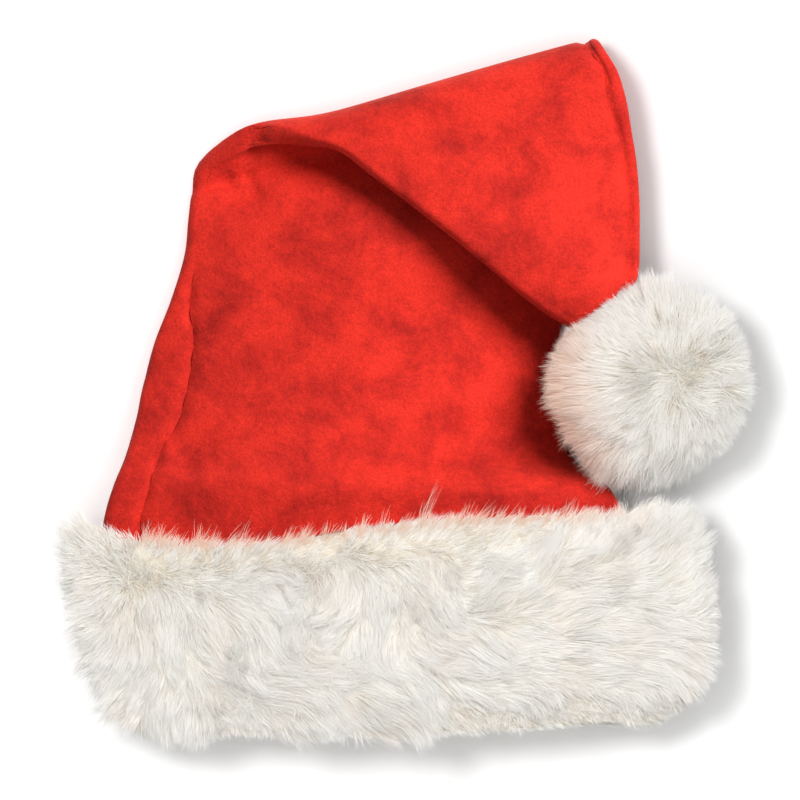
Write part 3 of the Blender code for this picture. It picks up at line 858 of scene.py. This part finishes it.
class Nodes:
    """A material's nodes, added and linked by short calls."""

    def __init__(self, name):
        self.material = bpy.data.materials.new(name)
        self.material.use_nodes = True
        self.tree = self.material.node_tree
        self.shader = self.tree.nodes["Principled BSDF"]

    def add(self, kind, **values):
        node = self.tree.nodes.new(kind)
        for key, value in values.items():
            if hasattr(node, key):
                setattr(node, key, value)
            else:
                node.inputs[key.replace("_", " ")].default_value = value
        return node

    def link(self, source, target):
        self.tree.links.new(source, target)

    def ramp(self, source, *stops):
        node = self.add("ShaderNodeValToRGB")
        elements = node.color_ramp.elements
        while len(elements) < len(stops):
            elements.new(0.5)
        for element, (place, colour) in zip(elements, stops):
            element.position = place
            element.color = (*colour, 1)
        self.link(source, node.inputs["Fac"])
        return node.outputs["Color"]

    def mix(self, factor, first, second, blend="MIX"):
        node = self.add("ShaderNodeMix", data_type="RGBA", blend_type=blend)
        sockets = (node.inputs[0], node.inputs[6], node.inputs[7])
        for source, socket in zip((factor, first, second), sockets):
            if isinstance(source, (int, float)):
                socket.default_value = source
            elif isinstance(source, tuple):
                socket.default_value = (*source, 1)
            else:
                self.link(source, socket)
        return node.outputs[2]

    def texture(self, coordinates, scale, detail=2.0, roughness=0.5, distortion=0.0):
        node = self.add("ShaderNodeTexNoise", Scale=scale, Detail=detail, Roughness=roughness)
        node.inputs["Distortion"].default_value = distortion
        self.link(coordinates, node.inputs["Vector"])
        return node.outputs["Fac"]


def velour_material(colour, shaded_pile, sheen):
    """Short brushed pile: patches that lie two ways, painted as pile that catches the light and pile in
    shade, fine grain and a soft sheen.
    """
    nodes = Nodes("velour")
    place = nodes.add("ShaderNodeTexCoord").outputs["Object"]
    # Painted sheen and shade: noise patches mix the lit red with the darker red of pile brushed away from the
    # light
    patches = nodes.texture(place, scale=28, detail=9, roughness=0.74, distortion=0.25)
    lit_pile_share = nodes.ramp(patches, (0.35, (0, 0, 0)), (0.57, (1, 1, 1)))
    grain = nodes.texture(place, scale=900, detail=3, roughness=0.7)
    flecks = nodes.ramp(grain, (0.3, (0.74, 0.70, 0.70)), (0.7, (1.14, 1.22, 1.22)))
    base = nodes.mix(lit_pile_share, shaded_pile, colour)
    base = nodes.mix(1.0, base, flecks, "MULTIPLY")
    nodes.link(base, nodes.shader.inputs["Base Color"])
    nodes.shader.inputs["Roughness"].default_value = 0.85
    nodes.shader.inputs["Specular IOR Level"].default_value = 0.2
    nodes.shader.inputs["Sheen Weight"].default_value = sheen
    nodes.shader.inputs["Sheen Roughness"].default_value = 0.45
    nodes.shader.inputs["Sheen Tint"].default_value = (1.0, 0.25, 0.18, 1)
    pile = nodes.add("ShaderNodeBump", Strength=0.5, Distance=0.0006)
    nodes.link(grain, pile.inputs["Height"])
    soft = nodes.add("ShaderNodeBump", Strength=0.5, Distance=0.002)
    nodes.link(nodes.texture(place, scale=150, detail=4, roughness=0.6), soft.inputs["Height"])
    nodes.link(soft.outputs["Normal"], pile.inputs["Normal"])
    nodes.link(pile.outputs["Normal"], nodes.shader.inputs["Normal"])
    return nodes.material


def fur_material(name, settings):
    """Strands that go from a cream root, painted shade of the depths between the locks, to a white tip, each
    with its own shade.
    """
    root, middle, tip, warm = (
        tuple(colour) for colour in (settings.root, settings.middle, settings.tip, settings.warm))
    nodes = Nodes(name)
    uv = nodes.add("ShaderNodeUVMap", uv_map="strand")
    split = nodes.add("ShaderNodeSeparateXYZ")
    nodes.link(uv.outputs["UV"], split.inputs["Vector"])
    # Painted shade: darker cream towards the root, where the depths between the locks lie in shade
    colour = nodes.ramp(split.outputs["Y"], (0.0, root), (0.45, middle), (1.0, tip))
    shade = nodes.ramp(split.outputs["X"], (0.0, (0.94, 0.93, 0.91)), (1.0, (1.0, 1.0, 1.0)))
    colour = nodes.mix(1.0, colour, shade, "MULTIPLY")
    # Mixes in painted red bounce light near the crown, on the pompom and fringe, and the cream of the cuff's
    # patches
    warmth = nodes.add("ShaderNodeAttribute", attribute_name="warmth")
    colour = nodes.mix(warmth.outputs["Fac"], colour, warm)
    nodes.link(colour, nodes.shader.inputs["Base Color"])
    nodes.shader.inputs["Roughness"].default_value = 0.55
    nodes.shader.inputs["Specular IOR Level"].default_value = 0.25
    nodes.shader.inputs["Sheen Weight"].default_value = 0.3
    nodes.shader.inputs["Sheen Roughness"].default_value = 0.4
    return nodes.material


def backing_material(colour):
    """The knitted backing that the fur grows from, given the fur's root colour, which is painted shade of the
    depths between the locks.
    """
    nodes = Nodes("fur_backing")
    place = nodes.add("ShaderNodeTexCoord").outputs["Object"]
    grain = nodes.texture(place, scale=420, detail=3, roughness=0.6)
    shades = nodes.ramp(grain, (0.3, tuple(c * 0.75 for c in colour)), (0.7, colour))
    nodes.link(shades, nodes.shader.inputs["Base Color"])
    nodes.shader.inputs["Roughness"].default_value = 0.9
    bump = nodes.add("ShaderNodeBump", Strength=0.6, Distance=0.0008)
    nodes.link(grain, bump.inputs["Height"])
    nodes.link(bump.outputs["Normal"], nodes.shader.inputs["Normal"])
    return nodes.material


def cuff_flow(points):
    """At each point: the cuff fur's lie, how steeply it stands, its length share and how well
    the fur keeps to that lie."""
    table = np.array(CUFF_FLOW)
    away = ((points[:, None, :2] - table[None, :, :2]) ** 2).sum(axis=2)
    weight = np.exp(-away / FLOW_REACH**2) + FAR_WEIGHT / (away + FAR_SOFTENING)
    weight /= weight.sum(axis=1, keepdims=True)
    angle = np.radians(table[:, 2])
    way = np.stack((weight @ np.cos(angle), weight @ np.sin(angle), np.zeros(len(points))), axis=1)
    order = np.linalg.norm(way, axis=1)[:, None]
    way = unit(way)
    way[:, 2] = FLOW_SINK
    return way, (weight @ table[:, 3])[:, None], weight @ table[:, 4], order


def pompom_flow(points):
    """The same of the pompom's fur, which falls away from its parting, is trimmed in places and
    ends in a longer tuft by the cuff."""
    away = points - np.array(POMPOM_PARTING)
    order = rounded(np.linalg.norm(away, axis=1) / PARTING_REACH + PARTING_ORDER)[:, None]
    by_tuft = near_spot(points, *POMPOM_TUFT, TUFT_REACH)
    length = POMPOM_SHARE + TUFT_SHARE * by_tuft
    for x, y, reach, cut in POMPOM_TRIMS:
        length -= cut * near_spot(points, x, y, reach)
    way = unit(unit(away * POMPOM_FALL) + by_tuft[:, None] * TUFT_PULL)
    return way, np.full((len(points), 1), POMPOM_RISE), length, order


def lock_strands(coat, sheet, flow, weight, chance):
    """Paths and normals of a coat's strands, drawn into wisps, and the wisps into locks."""
    roots, normals = scattered(sheet, coat.count, chance, weight)
    area = sheet_area(sheet)
    locks = int(area / coat.lock_gap**2)
    wisps = int(area / coat.wisp_gap**2)
    lock_places, lock_normals = scattered(sheet, locks, chance)
    wisp_places, wisp_normals = scattered(sheet, wisps, chance)
    lock_curl = chance.normal(0, coat.curl, (locks, 3))
    lock_length = coat.length * chance.uniform(*LENGTH_SPREAD, locks)
    lock_paths = grow(lock_places, lock_normals, lock_length, flow, coat.lift, lock_curl, coat.steps)
    owner = nearest(wisp_places, lock_places)
    wisp_curl = lock_curl[owner] * WISP_KEEPS + chance.normal(0, coat.curl * WISP_STRAYS, (wisps, 3))
    wisp_length = lock_length[owner] * chance.uniform(*LENGTH_SPREAD, wisps)
    wisp_paths = grow(wisp_places, wisp_normals, wisp_length, flow, coat.lift, wisp_curl, coat.steps)
    wisp_pull = chance.uniform(0.0, coat.pull * WISP_PULL, locks)
    wisp_paths = combed(wisp_paths, lock_places, lock_paths, wisp_pull)
    owner = nearest(roots, wisp_places)
    curl = wisp_curl[owner] * STRAND_KEEPS + chance.normal(0, coat.curl * STRAND_STRAYS, (coat.count, 3))
    lengths = wisp_length[owner] * chance.triangular(*STRAND_LENGTHS, coat.count)
    paths = grow(roots, normals, lengths, flow, coat.lift, curl, coat.steps)
    paths = combed(paths, wisp_places, wisp_paths, chance.uniform(0.0, coat.pull, wisps))
    return paths, normals


def furred(coat, sheet, flow, weight, warm, node, material):
    """A coat of fur over a sheet, shared between a few pieces from left to right."""
    chance = np.random.default_rng(coat.seed)
    paths, normals = lock_strands(coat, sheet, flow, weight, chance)
    widths = coat.width * chance.uniform(*STRAND_WIDTHS, coat.count)
    roots = paths[:, 0]
    warmth = warm(roots)
    order = np.argsort(roots[:, 0], kind="stable")
    for number, share in enumerate(np.array_split(order, coat.parts), start=1):
        name = f"{coat.name}_{number}"
        strand_piece(name, paths[share], normals[share], widths[share], chance, warmth[share], material, node)


def off_the_floor(sheet):
    """Few strands where the fur is pressed against the floor."""
    facing = (surface_normals(sheet)[..., 2] - UNDERSIDE) / UNDERSIDE_BLEND
    height = (sheet[..., 2] - CLEAR_HEIGHT) / CLEAR_BLEND
    return PRESSED_SHARE + (1 - PRESSED_SHARE) * rounded(np.maximum(facing, height))


def on_the_face(sheet):
    """Long locks only on the cuff's broad upper face."""
    length = cuff_flow(sheet.reshape(-1, 3))[2].reshape(sheet.shape[:2])
    facing = surface_normals(sheet)[..., 2]
    return rounded((length - LOCKS_FROM) / LOCKS_BLEND) * rounded(facing / FACE_BLEND)


def sheet_area(sheet):
    across = sheet[:-1, 1:] - sheet[:-1, :-1]
    onward = sheet[1:, :-1] - sheet[:-1, :-1]
    return np.linalg.norm(np.cross(across, onward), axis=2).sum()


def cuff_warmth(roots):
    """Painted red light bounced off the velour near the crown, and cream patches elsewhere."""
    upper = rounded((roots[:, 1] - PINK_Y) / PINK_BLEND)
    inner = rounded((PINK_HALF_WIDTH - np.abs(roots[:, 0] - PINK_X)) / PINK_FADE)
    on_top = rounded(roots[:, 2] / PINK_HEIGHT - 1)
    patches = np.array([noise.noise(Vector(p) / CREAM_PATCH) for p in roots])
    # the first term is painted red bounce light; the cream patches are the fur's own tone
    return PAINTED_RED_BOUNCE * (upper * inner) * on_top + CREAM * rounded(patches * 2)


def pompom_red_bounce(roots):
    """Painted peach light bounced off the red crown, on the side towards the crown."""
    left = (pompom_centre()[0] - roots[:, 0]) / POMPOM_CORE
    low = (pompom_centre()[1] - roots[:, 1]) / POMPOM_CORE
    return PAINTED_PEACH_BOUNCE * rounded(left * PEACH_LEFT + PEACH_LOW * low - PEACH_FROM)


def fringe(material, width):
    """Thin wisps of the cuff's fur that stand up over the velour."""
    chance = np.random.default_rng(FRINGE_SEED)
    x = chance.uniform(*FRINGE_SPAN, FRINGE_WISPS)
    _, left, right, _ = CUFF_OUTSIDE[0]
    share = (x / HEM_WIDTH - left) / (right - left)
    z = np.interp(share, *zip(*CROWN_TOP)) - FRINGE_SINK
    y = (FRINGE_EDGE - 2 * FRINGE_EDGE * edge_dip(x)) * CUFF_HEIGHT
    places = np.stack((x, y, z), axis=1)
    heading = np.radians(chance.normal(FRINGE_ANGLE, FRINGE_SPREAD, FRINGE_WISPS))
    height = chance.gamma(FRINGE_SHAPE, FRINGE_SCALE, FRINGE_WISPS) + FRINGE_HEIGHT
    owner = chance.integers(0, FRINGE_WISPS, FRINGE_STRANDS)
    roots = places[owner] + chance.normal(0, FRINGE_THICKNESS, (FRINGE_STRANDS, 3))
    rise = np.full(FRINGE_WISPS, FRINGE_RISE)
    way = np.stack((np.cos(heading), np.sin(heading), rise), axis=1)[owner]
    bend = chance.normal(0, FRINGE_BEND, (FRINGE_WISPS, 3))[owner]
    reach = height[owner] * chance.uniform(*FRINGE_LENGTHS, FRINGE_STRANDS) / (FRINGE_STEPS - 1)
    paths = [roots]
    for step in range(1, FRINGE_STEPS):
        stray = bend * step / FRINGE_STEPS + chance.normal(0, FRINGE_STRAY, roots.shape)
        paths.append(paths[-1] + unit(way + stray) * reach[:, None])
    paths = np.stack(paths, axis=1)
    normals = np.tile(UP, (FRINGE_STRANDS, 1))
    widths = np.full(FRINGE_STRANDS, width * FRINGE_WIDTH)
    # Painted red bounce light on every wisp
    warmth = np.full(FRINGE_STRANDS, FRINGE_RED_BOUNCE)
    strand_piece("cuff_fringe", paths, normals, widths, chance, warmth, material, "fur_cuff")


def pompom_sheet(columns, rows):
    """The pompom's core, pressed flat below."""
    centre = pompom_centre()
    forward = tip_direction()
    sideways = np.cross(UP, forward)
    turn = np.linspace(0, 2 * math.pi, columns)[None, :, None]
    latitude = np.linspace(*POMPOM_POLES, rows)[:, None, None]
    ring = np.sin(latitude) * (np.cos(turn) * sideways + np.sin(turn) * UP)
    offset = POMPOM_CORE * (ring - np.cos(latitude) * forward)
    above = (POMPOM_TOP - POMPOM_LOCK) / POMPOM_CORE
    below = (POMPOM_MIDDLE - POMPOM_FLAT) / POMPOM_CORE
    offset[..., 2] *= np.where(offset[..., 2] > 0, above, below)
    return centre + offset


class HatCrownSettings(bpy.types.PropertyGroup):
    cloth: bpy.props.FloatProperty(
        name="Cloth", description="Thickness of the velour", default=CLOTH_WALL, unit="LENGTH")
    # The velour's red as its lit copy; with the next colour it paints the pile's sheen and shade in patches
    colour: bpy.props.FloatVectorProperty(
        name="Colour", description="Velour that catches the light", default=(0.71, 0.023, 0.012),
        subtype="COLOR", size=3, min=0, max=1)
    # Painted shade: the velour's red as it looks where the pile is brushed away from the light
    shaded_pile: bpy.props.FloatVectorProperty(
        name="Brushed colour", description="Velour brushed the other way", default=(0.38, 0.009, 0.006),
        subtype="COLOR", size=3, min=0, max=1)
    sheen: bpy.props.FloatProperty(
        name="Sheen", description="Soft light along the pile's edges", default=0.25, subtype="FACTOR")


class HatFurSettings(bpy.types.PropertyGroup):
    # Painted shade: the cream root colour darkens the depths between the locks; the backings take this colour
    # too
    root: bpy.props.FloatVectorProperty(
        name="Root", description="Colour of the fur at its root", default=(0.78, 0.70, 0.57),
        subtype="COLOR", size=3, min=0, max=1)
    middle: bpy.props.FloatVectorProperty(
        name="Middle", description="Colour of the fur half way along", default=(0.94, 0.92, 0.87),
        subtype="COLOR", size=3, min=0, max=1)
    tip: bpy.props.FloatVectorProperty(
        name="Tip", description="Colour of the fur at its tip", default=(0.98, 0.975, 0.96),
        subtype="COLOR", size=3, min=0, max=1)
    # Tint mixed in by the warmth attribute: painted red bounce light near the crown, on the pompom and on the
    # fringe, and the cream of the cuff's patches
    warm: bpy.props.FloatVectorProperty(
        name="Warm tint", description="Colour that the red cloth and age give the fur",
        default=(0.88, 0.60, 0.44), subtype="COLOR", size=3, min=0, max=1)
    width: bpy.props.FloatProperty(
        name="Strand width", description="Width of a strand", default=0.00025, unit="LENGTH")
    cuff_length: bpy.props.FloatProperty(
        name="Cuff length", description="Length of the cuff's fur", default=0.016, unit="LENGTH")
    pompom_length: bpy.props.FloatProperty(
        name="Pompom length", description="Length of the pompom's fur", default=0.017, unit="LENGTH")


class HatStageSettings(bpy.types.PropertyGroup):
    floor: bpy.props.FloatVectorProperty(
        name="Floor", description="Colour of the floor", default=(0.95, 0.95, 0.95),
        subtype="COLOR", size=3, min=0, max=1)
    cloth_key: bpy.props.FloatProperty(
        name="Cloth light", description="Power of the soft lamp that lights the velour", default=36,
        unit="POWER")
    fur_key: bpy.props.FloatProperty(
        name="Fur light", description="Power of the soft lamp that lights the fur", default=34,
        unit="POWER")
    floor_key: bpy.props.FloatProperty(
        name="Floor light", description="Power of the lamp that casts the hat's shadow", default=16,
        unit="POWER")
    floor_fill: bpy.props.FloatProperty(
        name="Floor fill", description="Power of the broad lamp over the floor", default=34, unit="POWER")
    world: bpy.props.FloatProperty(
        name="Room light", description="Strength of the light from all round", default=0.32)


def add_lamp(name, power, size, place, lit):
    """A round soft lamp aimed at the hat, which shines on one collection."""
    light = bpy.data.lights.new(name, "AREA")
    light.shape = "DISK"
    light.size = size
    light.energy = power
    lamp = bpy.data.objects.new(name, light)
    lamp.location = place
    aim = LAMP_AIM - lamp.location
    lamp.rotation_euler = aim.to_track_quat("-Z", "Y").to_euler()
    lamp.light_linking.receiver_collection = lit
    bpy.context.scene.collection.objects.link(lamp)


class HAT_OT_stage(bpy.types.Operator):
    """Adds the floor, the lights and the camera above the hat"""
    bl_idname = "hat.stage"
    bl_label = "Stage"

    def execute(self, context):
        settings = context.scene.hat_stage
        scene = context.scene
        bpy.ops.mesh.primitive_plane_add(size=FLOOR_SIZE)
        floor = context.active_object
        floor.name = "floor"
        nodes = Nodes("floor")
        nodes.shader.inputs["Base Color"].default_value = (*settings.floor, 1)
        nodes.shader.inputs["Roughness"].default_value = 0.9
        floor.data.materials.append(nodes.material)
        world = bpy.data.worlds.new("room")
        world.use_nodes = True
        background = world.node_tree.nodes["Background"]
        background.inputs["Color"].default_value = (1, 1, 1, 1)
        background.inputs["Strength"].default_value = settings.world
        scene.world = world
        for name in (*COLLECTIONS.values(), "stage"):
            named_collection(name)
        named_collection("stage").objects.link(floor)
        for name, size, place, lit in LAMPS:
            add_lamp(name, getattr(settings, name), size, place, named_collection(lit))
        data = bpy.data.cameras.new("camera")
        data.angle = 2 * math.atan(CAMERA_REACH / 2 / CAMERA_PLACE[2])
        camera = bpy.data.objects.new("camera", data)
        camera.location = CAMERA_PLACE
        scene.collection.objects.link(camera)
        scene.camera = camera
        scene.view_settings.view_transform = "Standard"
        return {"FINISHED"}


class HAT_OT_crown(bpy.types.Operator):
    """Adds the two velour gores of the crown"""
    bl_idname = "hat.crown"
    bl_label = "Crown"

    def execute(self, context):
        settings = context.scene.hat_crown
        velour = velour_material(tuple(settings.colour), tuple(settings.shaded_pile), settings.sheen)
        for name, front, node in (
            ("front_gore", True, "crown_front_panel"),
            ("back_gore", False, "crown_back_panel"),
        ):
            mesh = sheet_mesh(name, gore_sheet(front))
            piece = new_piece(name, mesh, velour, "red_velour", node)
            wall = piece.modifiers.new("cloth", "SOLIDIFY")
            wall.thickness = settings.cloth
            wall.offset = -1
        return {"FINISHED"}


class HAT_OT_cuff(bpy.types.Operator):
    """Adds the cuff's backing and its fur"""
    bl_idname = "hat.cuff"
    bl_label = "Cuff"

    def execute(self, context):
        settings = context.scene.hat_fur
        outer = cuff_sheet(*CUFF_GRID)
        inner = cuff_inner_sheet(CUFF_GRID[0])
        whole = np.concatenate((outer, inner, outer[:1]))
        mesh = sheet_mesh("cuff_backing", whole, closed_columns=True, closed_rows=True)
        backing = backing_material(tuple(settings.root))
        new_piece("cuff_backing", mesh, backing, "white_fur", "fur_cuff")
        fur = fur_material("cuff_fur", settings)
        sheet = cuff_fur_sheet(*CUFF_FUR_GRID)
        under = Coat(
            name="cuff_fur", count=124000, length=settings.cuff_length * UNDER_FUR_SHARE,
            width=settings.width, lock_gap=0.012, wisp_gap=0.0032, curl=0.34, pull=0.35, lift=1.0,
            steps=3, parts=2, seed=3)
        locks = Coat(
            name="cuff_locks", count=56000, length=settings.cuff_length * LOCKS_SHARE,
            width=settings.width, lock_gap=0.014, wisp_gap=0.0042, curl=0.30, pull=0.62, lift=1.4,
            steps=4, parts=2, seed=4)
        furred(under, sheet, cuff_flow, off_the_floor(sheet), cuff_warmth, "fur_cuff", fur)
        furred(locks, sheet, cuff_flow, on_the_face(sheet), cuff_warmth, "fur_cuff", fur)
        fringe(fur, settings.width)
        return {"FINISHED"}


class HAT_OT_pompom(bpy.types.Operator):
    """Adds the pompom's core and its fur"""
    bl_idname = "hat.pompom"
    bl_label = "Pompom"

    def execute(self, context):
        settings = context.scene.hat_fur
        mesh = sheet_mesh("pompom_core", pompom_sheet(*POMPOM_GRID), closed_columns=True)
        backing = backing_material(tuple(settings.root))
        new_piece("pompom_core", mesh, backing, "white_fur", "pompom")
        fur = fur_material("pompom_fur", settings)
        sheet = pompom_sheet(*POMPOM_FUR_GRID)
        coat = Coat(
            name="pompom_fur", count=64000, length=settings.pompom_length,
            width=settings.width * POMPOM_STRAND_SHARE, lock_gap=0.012, wisp_gap=0.0030, curl=0.34,
            pull=0.28, lift=1.0, steps=3, parts=1, seed=5)
        furred(coat, sheet, pompom_flow, off_the_floor(sheet), pompom_red_bounce, "pompom", fur)
        return {"FINISHED"}


class HAT_PT_panel(bpy.types.Panel):
    """Lists the hat's operators and settings"""
    bl_idname = "HAT_PT_panel"
    bl_label = "Santa hat"
    bl_space_type = "VIEW_3D"
    bl_region_type = "UI"
    bl_category = "Santa hat"

    def draw(self, context):
        layout = self.layout
        for operator in OPERATORS:
            layout.operator(operator.bl_idname)
        for group in (context.scene.hat_crown, context.scene.hat_fur, context.scene.hat_stage):
            box = layout.box()
            for key in group.__annotations__:
                box.prop(group, key)


SETTINGS = {"hat_crown": HatCrownSettings, "hat_fur": HatFurSettings, "hat_stage": HatStageSettings}
OPERATORS = (HAT_OT_stage, HAT_OT_crown, HAT_OT_cuff, HAT_OT_pompom)
CLASSES = (*SETTINGS.values(), *OPERATORS, HAT_PT_panel)


def register():
    for cls in CLASSES:
        bpy.utils.register_class(cls)
    for name, group in SETTINGS.items():
        setattr(bpy.types.Scene, name, bpy.props.PointerProperty(type=group))


def unregister():
    for name in SETTINGS:
        delattr(bpy.types.Scene, name)
    for cls in reversed(CLASSES):
        bpy.utils.unregister_class(cls)


def main():
    register()
    bpy.ops.hat.stage()
    bpy.ops.hat.crown()
    bpy.ops.hat.cuff()
    bpy.ops.hat.pompom()
    bpy.context.view_layer.update()


if __name__ == "__main__":
    main()
